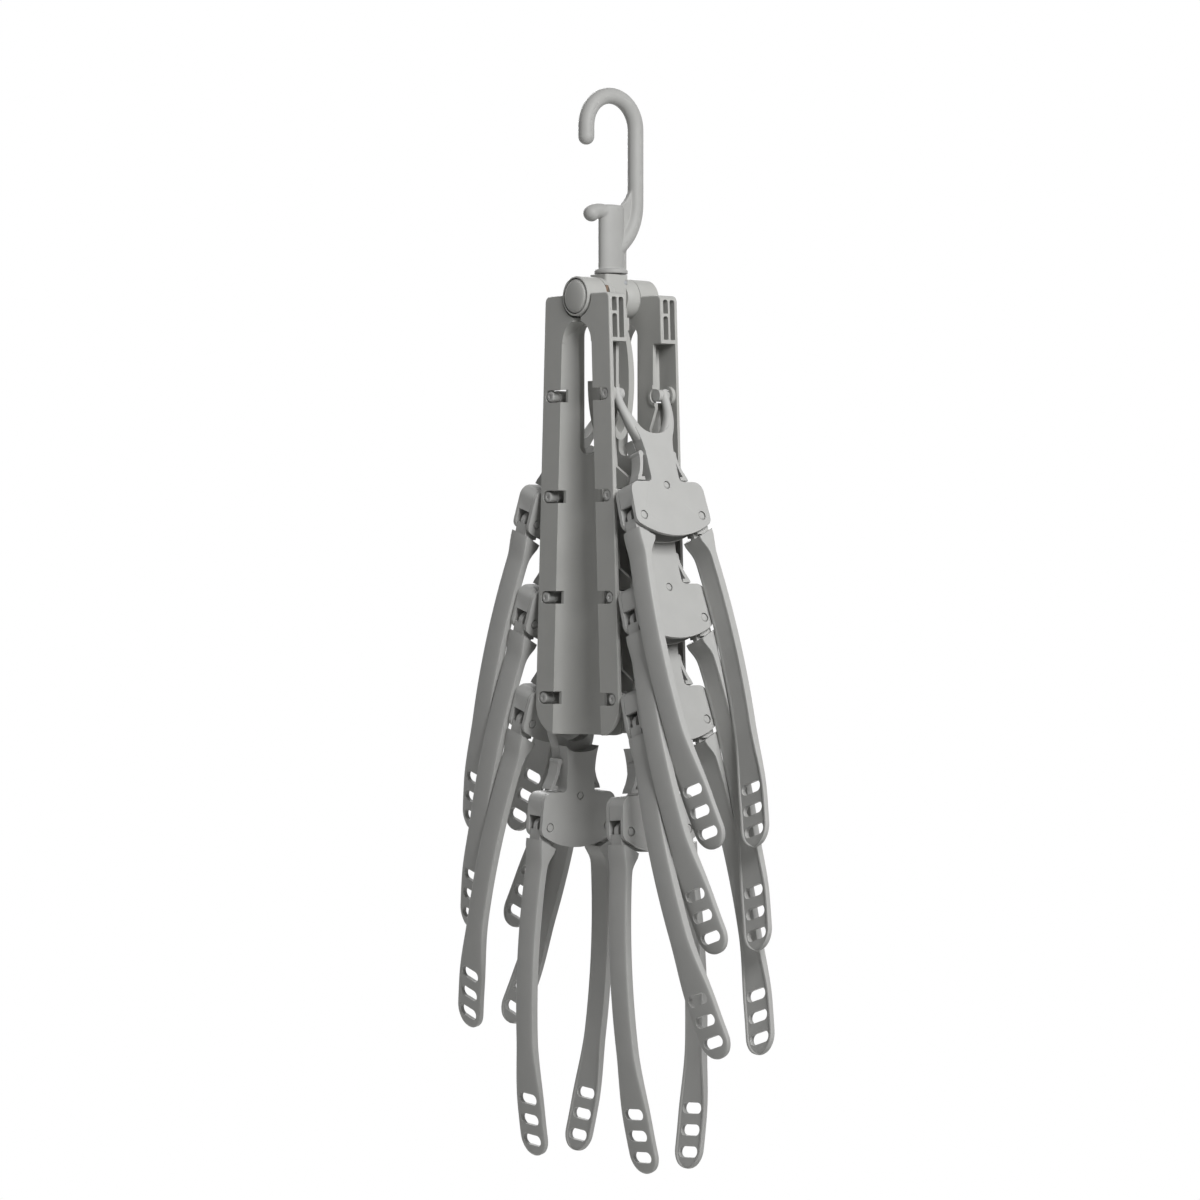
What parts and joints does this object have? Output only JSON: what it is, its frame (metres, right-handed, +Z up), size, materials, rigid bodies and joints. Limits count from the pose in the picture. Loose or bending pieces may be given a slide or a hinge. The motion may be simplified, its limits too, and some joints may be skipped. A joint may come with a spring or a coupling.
{
  "type": "folding multi hanger",
  "caption": "Folding multi hanger: a swivel hook carries a tall frame of moulded cheeks with swing-out hangers on both sides, whose slotted arms fold down.",
  "frame": {"origin": "inside top of the hook's crook, where it rests on a rail", "axes": "+Z up, +X along the axle towards the rear cheek, with the hook's open tip at -X, +Y to the left-hand hangers"},
  "size_m": [0.0588, 0.2254, 0.597],
  "materials": {
    "hook_grey": "satin mid-grey moulding",
    "frame_grey": "satin mid-grey moulding",
    "hanger_grey": "satin mid-grey moulding",
    "steel": "plain steel pin",
    "brass": "dull brass"
  },
  "bodies": {
    "hook": {"main_hook": "hook_grey"},
    "hub": {"hub_block": "frame_grey", "swivel_dowel": "steel", "detent_insert": "brass"},
    "frame": {"axle": "steel", "front_cheek": "frame_grey", "rear_cheek": "frame_grey", "front_axle_cap": "frame_grey", "rear_axle_cap": "frame_grey"},
    "right_hanger_1": {"right_hanger_1_front_shell": "hanger_grey", "right_hanger_1_back_shell": "hanger_grey"},
    "right_hanger_1_wing_a": {"right_hanger_1_wing_a": "hanger_grey"},
    "right_hanger_1_lever_a": {"right_hanger_1_lever_a": "hanger_grey"},
    "right_hanger_1_wing_b": {"right_hanger_1_wing_b": "hanger_grey"},
    "right_hanger_1_lever_b": {"right_hanger_1_lever_b": "hanger_grey"},
    "right_hanger_2": {"right_hanger_2_front_shell": "hanger_grey", "right_hanger_2_back_shell": "hanger_grey"},
    "right_hanger_2_wing_a": {"right_hanger_2_wing_a": "hanger_grey"},
    "right_hanger_2_lever_a": {"right_hanger_2_lever_a": "hanger_grey"},
    "right_hanger_2_wing_b": {"right_hanger_2_wing_b": "hanger_grey"},
    "right_hanger_2_lever_b": {"right_hanger_2_lever_b": "hanger_grey"},
    "right_hanger_3": {"right_hanger_3_front_shell": "hanger_grey", "right_hanger_3_back_shell": "hanger_grey"},
    "right_hanger_3_wing_a": {"right_hanger_3_wing_a": "hanger_grey"},
    "right_hanger_3_lever_a": {"right_hanger_3_lever_a": "hanger_grey"},
    "right_hanger_3_wing_b": {"right_hanger_3_wing_b": "hanger_grey"},
    "right_hanger_3_lever_b": {"right_hanger_3_lever_b": "hanger_grey"},
    "right_hanger_4": {"right_hanger_4_front_shell": "hanger_grey", "right_hanger_4_back_shell": "hanger_grey"},
    "right_hanger_4_wing_a": {"right_hanger_4_wing_a": "hanger_grey"},
    "right_hanger_4_lever_a": {"right_hanger_4_lever_a": "hanger_grey"},
    "right_hanger_4_wing_b": {"right_hanger_4_wing_b": "hanger_grey"},
    "right_hanger_4_lever_b": {"right_hanger_4_lever_b": "hanger_grey"},
    "left_hanger_1": {"left_hanger_1_front_shell": "hanger_grey", "left_hanger_1_back_shell": "hanger_grey"},
    "left_hanger_1_wing_a": {"left_hanger_1_wing_a": "hanger_grey"},
    "left_hanger_1_lever_a": {"left_hanger_1_lever_a": "hanger_grey"},
    "left_hanger_1_wing_b": {"left_hanger_1_wing_b": "hanger_grey"},
    "left_hanger_1_lever_b": {"left_hanger_1_lever_b": "hanger_grey"},
    "left_hanger_2": {"left_hanger_2_front_shell": "hanger_grey", "left_hanger_2_back_shell": "hanger_grey"},
    "left_hanger_2_wing_a": {"left_hanger_2_wing_a": "hanger_grey"},
    "left_hanger_2_lever_a": {"left_hanger_2_lever_a": "hanger_grey"},
    "left_hanger_2_wing_b": {"left_hanger_2_wing_b": "hanger_grey"},
    "left_hanger_2_lever_b": {"left_hanger_2_lever_b": "hanger_grey"},
    "left_hanger_3": {"left_hanger_3_front_shell": "hanger_grey", "left_hanger_3_back_shell": "hanger_grey"},
    "left_hanger_3_wing_a": {"left_hanger_3_wing_a": "hanger_grey"},
    "left_hanger_3_lever_a": {"left_hanger_3_lever_a": "hanger_grey"},
    "left_hanger_3_wing_b": {"left_hanger_3_wing_b": "hanger_grey"},
    "left_hanger_3_lever_b": {"left_hanger_3_lever_b": "hanger_grey"},
    "left_hanger_4": {"left_hanger_4_front_shell": "hanger_grey", "left_hanger_4_back_shell": "hanger_grey"},
    "left_hanger_4_wing_a": {"left_hanger_4_wing_a": "hanger_grey"},
    "left_hanger_4_lever_a": {"left_hanger_4_lever_a": "hanger_grey"},
    "left_hanger_4_wing_b": {"left_hanger_4_wing_b": "hanger_grey"},
    "left_hanger_4_lever_b": {"left_hanger_4_lever_b": "hanger_grey"}
  },
  "joints": [
    {"name": "hook_swivel", "type": "hinge", "parent": "hook", "child": "hub", "pos_m": [0, 0, -0.1], "axis": [0, 0, 1], "continuous": true},
    {"name": "frame_tilt", "type": "hinge", "parent": "hub", "child": "frame", "pos_m": [0, 0, -0.108], "axis": [1, 0, 0], "range_deg": [-90, 90]},
    {"name": "right_hanger_1_swing", "type": "hinge", "parent": "frame", "child": "right_hanger_1", "pos_m": [0, -0.02322, -0.1625], "axis": [-1, 0, 0], "range_deg": [0, 65]},
    {"name": "right_hanger_1_wing_a_fold", "type": "hinge", "parent": "right_hanger_1", "child": "right_hanger_1_wing_a", "pos_m": [0.021, -0.04559, -0.23136], "axis": [0, -0.9511, 0.309], "range_deg": [0, 68]},
    {"name": "right_hanger_1_lever_a_squeeze", "type": "hinge", "parent": "right_hanger_1", "child": "right_hanger_1_lever_a", "pos_m": [0.0119, -0.0344, -0.19693], "axis": [0, 0.9511, -0.309], "range_deg": [0, 6], "stiffness_Nm_per_rad": 0.05},
    {"name": "right_hanger_1_wing_b_fold", "type": "hinge", "parent": "right_hanger_1", "child": "right_hanger_1_wing_b", "pos_m": [-0.021, -0.04559, -0.23136], "axis": [0, 0.9511, -0.309], "range_deg": [0, 68]},
    {"name": "right_hanger_1_lever_b_squeeze", "type": "hinge", "parent": "right_hanger_1", "child": "right_hanger_1_lever_b", "pos_m": [-0.0119, -0.0344, -0.19693], "axis": [0, -0.9511, 0.309], "range_deg": [0, 6], "stiffness_Nm_per_rad": 0.05},
    {"name": "right_hanger_2_swing", "type": "hinge", "parent": "frame", "child": "right_hanger_2", "pos_m": [0, -0.02531, -0.2183], "axis": [-1, 0, 0], "range_deg": [0, 65]},
    {"name": "right_hanger_2_wing_a_fold", "type": "hinge", "parent": "right_hanger_2", "child": "right_hanger_2_wing_a", "pos_m": [0.021, -0.04768, -0.28716], "axis": [0, -0.9511, 0.309], "range_deg": [0, 68]},
    {"name": "right_hanger_2_lever_a_squeeze", "type": "hinge", "parent": "right_hanger_2", "child": "right_hanger_2_lever_a", "pos_m": [0.0119, -0.0365, -0.25273], "axis": [0, 0.9511, -0.309], "range_deg": [0, 6], "stiffness_Nm_per_rad": 0.05},
    {"name": "right_hanger_2_wing_b_fold", "type": "hinge", "parent": "right_hanger_2", "child": "right_hanger_2_wing_b", "pos_m": [-0.021, -0.04768, -0.28716], "axis": [0, 0.9511, -0.309], "range_deg": [0, 68]},
    {"name": "right_hanger_2_lever_b_squeeze", "type": "hinge", "parent": "right_hanger_2", "child": "right_hanger_2_lever_b", "pos_m": [-0.0119, -0.0365, -0.25273], "axis": [0, -0.9511, 0.309], "range_deg": [0, 6], "stiffness_Nm_per_rad": 0.05},
    {"name": "right_hanger_3_swing", "type": "hinge", "parent": "frame", "child": "right_hanger_3", "pos_m": [0, -0.0274, -0.2741], "axis": [-1, 0, 0], "range_deg": [0, 65]},
    {"name": "right_hanger_3_wing_a_fold", "type": "hinge", "parent": "right_hanger_3", "child": "right_hanger_3_wing_a", "pos_m": [0.021, -0.04978, -0.34296], "axis": [0, -0.9511, 0.309], "range_deg": [0, 68]},
    {"name": "right_hanger_3_lever_a_squeeze", "type": "hinge", "parent": "right_hanger_3", "child": "right_hanger_3_lever_a", "pos_m": [0.0119, -0.03859, -0.30853], "axis": [0, 0.9511, -0.309], "range_deg": [0, 6], "stiffness_Nm_per_rad": 0.05},
    {"name": "right_hanger_3_wing_b_fold", "type": "hinge", "parent": "right_hanger_3", "child": "right_hanger_3_wing_b", "pos_m": [-0.021, -0.04978, -0.34296], "axis": [0, 0.9511, -0.309], "range_deg": [0, 68]},
    {"name": "right_hanger_3_lever_b_squeeze", "type": "hinge", "parent": "right_hanger_3", "child": "right_hanger_3_lever_b", "pos_m": [-0.0119, -0.03859, -0.30853], "axis": [0, -0.9511, 0.309], "range_deg": [0, 6], "stiffness_Nm_per_rad": 0.05},
    {"name": "right_hanger_4_swing", "type": "hinge", "parent": "frame", "child": "right_hanger_4", "pos_m": [0, -0.0295, -0.3299], "axis": [-1, 0, 0], "range_deg": [0, 65]},
    {"name": "right_hanger_4_wing_a_fold", "type": "hinge", "parent": "right_hanger_4", "child": "right_hanger_4_wing_a", "pos_m": [0.021, -0.03455, -0.40212], "axis": [0, -0.9976, 0.0698], "range_deg": [0, 68]},
    {"name": "right_hanger_4_lever_a_squeeze", "type": "hinge", "parent": "right_hanger_4", "child": "right_hanger_4_lever_a", "pos_m": [0.0119, -0.03202, -0.36601], "axis": [0, 0.9976, -0.0698], "range_deg": [0, 6], "stiffness_Nm_per_rad": 0.05},
    {"name": "right_hanger_4_wing_b_fold", "type": "hinge", "parent": "right_hanger_4", "child": "right_hanger_4_wing_b", "pos_m": [-0.021, -0.03455, -0.40212], "axis": [0, 0.9976, -0.0698], "range_deg": [0, 68]},
    {"name": "right_hanger_4_lever_b_squeeze", "type": "hinge", "parent": "right_hanger_4", "child": "right_hanger_4_lever_b", "pos_m": [-0.0119, -0.03202, -0.36601], "axis": [0, -0.9976, 0.0698], "range_deg": [0, 6], "stiffness_Nm_per_rad": 0.05},
    {"name": "left_hanger_1_swing", "type": "hinge", "parent": "frame", "child": "left_hanger_1", "pos_m": [0, 0.02322, -0.1625], "axis": [1, 0, 0], "range_deg": [0, 65]},
    {"name": "left_hanger_1_wing_a_fold", "type": "hinge", "parent": "left_hanger_1", "child": "left_hanger_1_wing_a", "pos_m": [-0.021, 0.04559, -0.23136], "axis": [0, 0.9511, 0.309], "range_deg": [0, 68]},
    {"name": "left_hanger_1_lever_a_squeeze", "type": "hinge", "parent": "left_hanger_1", "child": "left_hanger_1_lever_a", "pos_m": [-0.0119, 0.0344, -0.19693], "axis": [0, -0.9511, -0.309], "range_deg": [0, 6], "stiffness_Nm_per_rad": 0.05},
    {"name": "left_hanger_1_wing_b_fold", "type": "hinge", "parent": "left_hanger_1", "child": "left_hanger_1_wing_b", "pos_m": [0.021, 0.04559, -0.23136], "axis": [0, -0.9511, -0.309], "range_deg": [0, 68]},
    {"name": "left_hanger_1_lever_b_squeeze", "type": "hinge", "parent": "left_hanger_1", "child": "left_hanger_1_lever_b", "pos_m": [0.0119, 0.0344, -0.19693], "axis": [0, 0.9511, 0.309], "range_deg": [0, 6], "stiffness_Nm_per_rad": 0.05},
    {"name": "left_hanger_2_swing", "type": "hinge", "parent": "frame", "child": "left_hanger_2", "pos_m": [0, 0.02531, -0.2183], "axis": [1, 0, 0], "range_deg": [0, 65]},
    {"name": "left_hanger_2_wing_a_fold", "type": "hinge", "parent": "left_hanger_2", "child": "left_hanger_2_wing_a", "pos_m": [-0.021, 0.04768, -0.28716], "axis": [0, 0.9511, 0.309], "range_deg": [0, 68]},
    {"name": "left_hanger_2_lever_a_squeeze", "type": "hinge", "parent": "left_hanger_2", "child": "left_hanger_2_lever_a", "pos_m": [-0.0119, 0.0365, -0.25273], "axis": [0, -0.9511, -0.309], "range_deg": [0, 6], "stiffness_Nm_per_rad": 0.05},
    {"name": "left_hanger_2_wing_b_fold", "type": "hinge", "parent": "left_hanger_2", "child": "left_hanger_2_wing_b", "pos_m": [0.021, 0.04768, -0.28716], "axis": [0, -0.9511, -0.309], "range_deg": [0, 68]},
    {"name": "left_hanger_2_lever_b_squeeze", "type": "hinge", "parent": "left_hanger_2", "child": "left_hanger_2_lever_b", "pos_m": [0.0119, 0.0365, -0.25273], "axis": [0, 0.9511, 0.309], "range_deg": [0, 6], "stiffness_Nm_per_rad": 0.05},
    {"name": "left_hanger_3_swing", "type": "hinge", "parent": "frame", "child": "left_hanger_3", "pos_m": [0, 0.0274, -0.2741], "axis": [1, 0, 0], "range_deg": [0, 65]},
    {"name": "left_hanger_3_wing_a_fold", "type": "hinge", "parent": "left_hanger_3", "child": "left_hanger_3_wing_a", "pos_m": [-0.021, 0.04978, -0.34296], "axis": [0, 0.9511, 0.309], "range_deg": [0, 68]},
    {"name": "left_hanger_3_lever_a_squeeze", "type": "hinge", "parent": "left_hanger_3", "child": "left_hanger_3_lever_a", "pos_m": [-0.0119, 0.03859, -0.30853], "axis": [0, -0.9511, -0.309], "range_deg": [0, 6], "stiffness_Nm_per_rad": 0.05},
    {"name": "left_hanger_3_wing_b_fold", "type": "hinge", "parent": "left_hanger_3", "child": "left_hanger_3_wing_b", "pos_m": [0.021, 0.04978, -0.34296], "axis": [0, -0.9511, -0.309], "range_deg": [0, 68]},
    {"name": "left_hanger_3_lever_b_squeeze", "type": "hinge", "parent": "left_hanger_3", "child": "left_hanger_3_lever_b", "pos_m": [0.0119, 0.03859, -0.30853], "axis": [0, 0.9511, 0.309], "range_deg": [0, 6], "stiffness_Nm_per_rad": 0.05},
    {"name": "left_hanger_4_swing", "type": "hinge", "parent": "frame", "child": "left_hanger_4", "pos_m": [0, 0.0295, -0.3299], "axis": [1, 0, 0], "range_deg": [0, 65]},
    {"name": "left_hanger_4_wing_a_fold", "type": "hinge", "parent": "left_hanger_4", "child": "left_hanger_4_wing_a", "pos_m": [-0.021, 0.03455, -0.40212], "axis": [0, 0.9976, 0.0698], "range_deg": [0, 68]},
    {"name": "left_hanger_4_lever_a_squeeze", "type": "hinge", "parent": "left_hanger_4", "child": "left_hanger_4_lever_a", "pos_m": [-0.0119, 0.03202, -0.36601], "axis": [0, -0.9976, -0.0698], "range_deg": [0, 6], "stiffness_Nm_per_rad": 0.05},
    {"name": "left_hanger_4_wing_b_fold", "type": "hinge", "parent": "left_hanger_4", "child": "left_hanger_4_wing_b", "pos_m": [0.021, 0.03455, -0.40212], "axis": [0, -0.9976, -0.0698], "range_deg": [0, 68]},
    {"name": "left_hanger_4_lever_b_squeeze", "type": "hinge", "parent": "left_hanger_4", "child": "left_hanger_4_lever_b", "pos_m": [0.0119, 0.03202, -0.36601], "axis": [0, 0.9976, 0.0698], "range_deg": [0, 6], "stiffness_Nm_per_rad": 0.05}
  ],
  "couplings": [
    {"joint": "right_hanger_2_swing", "follows": "right_hanger_1_swing", "ratio": 1},
    {"joint": "right_hanger_3_swing", "follows": "right_hanger_1_swing", "ratio": 1},
    {"joint": "right_hanger_4_swing", "follows": "right_hanger_1_swing", "ratio": 1},
    {"joint": "left_hanger_2_swing", "follows": "left_hanger_1_swing", "ratio": 1},
    {"joint": "left_hanger_3_swing", "follows": "left_hanger_1_swing", "ratio": 1},
    {"joint": "left_hanger_4_swing", "follows": "left_hanger_1_swing", "ratio": 1}
  ]
}
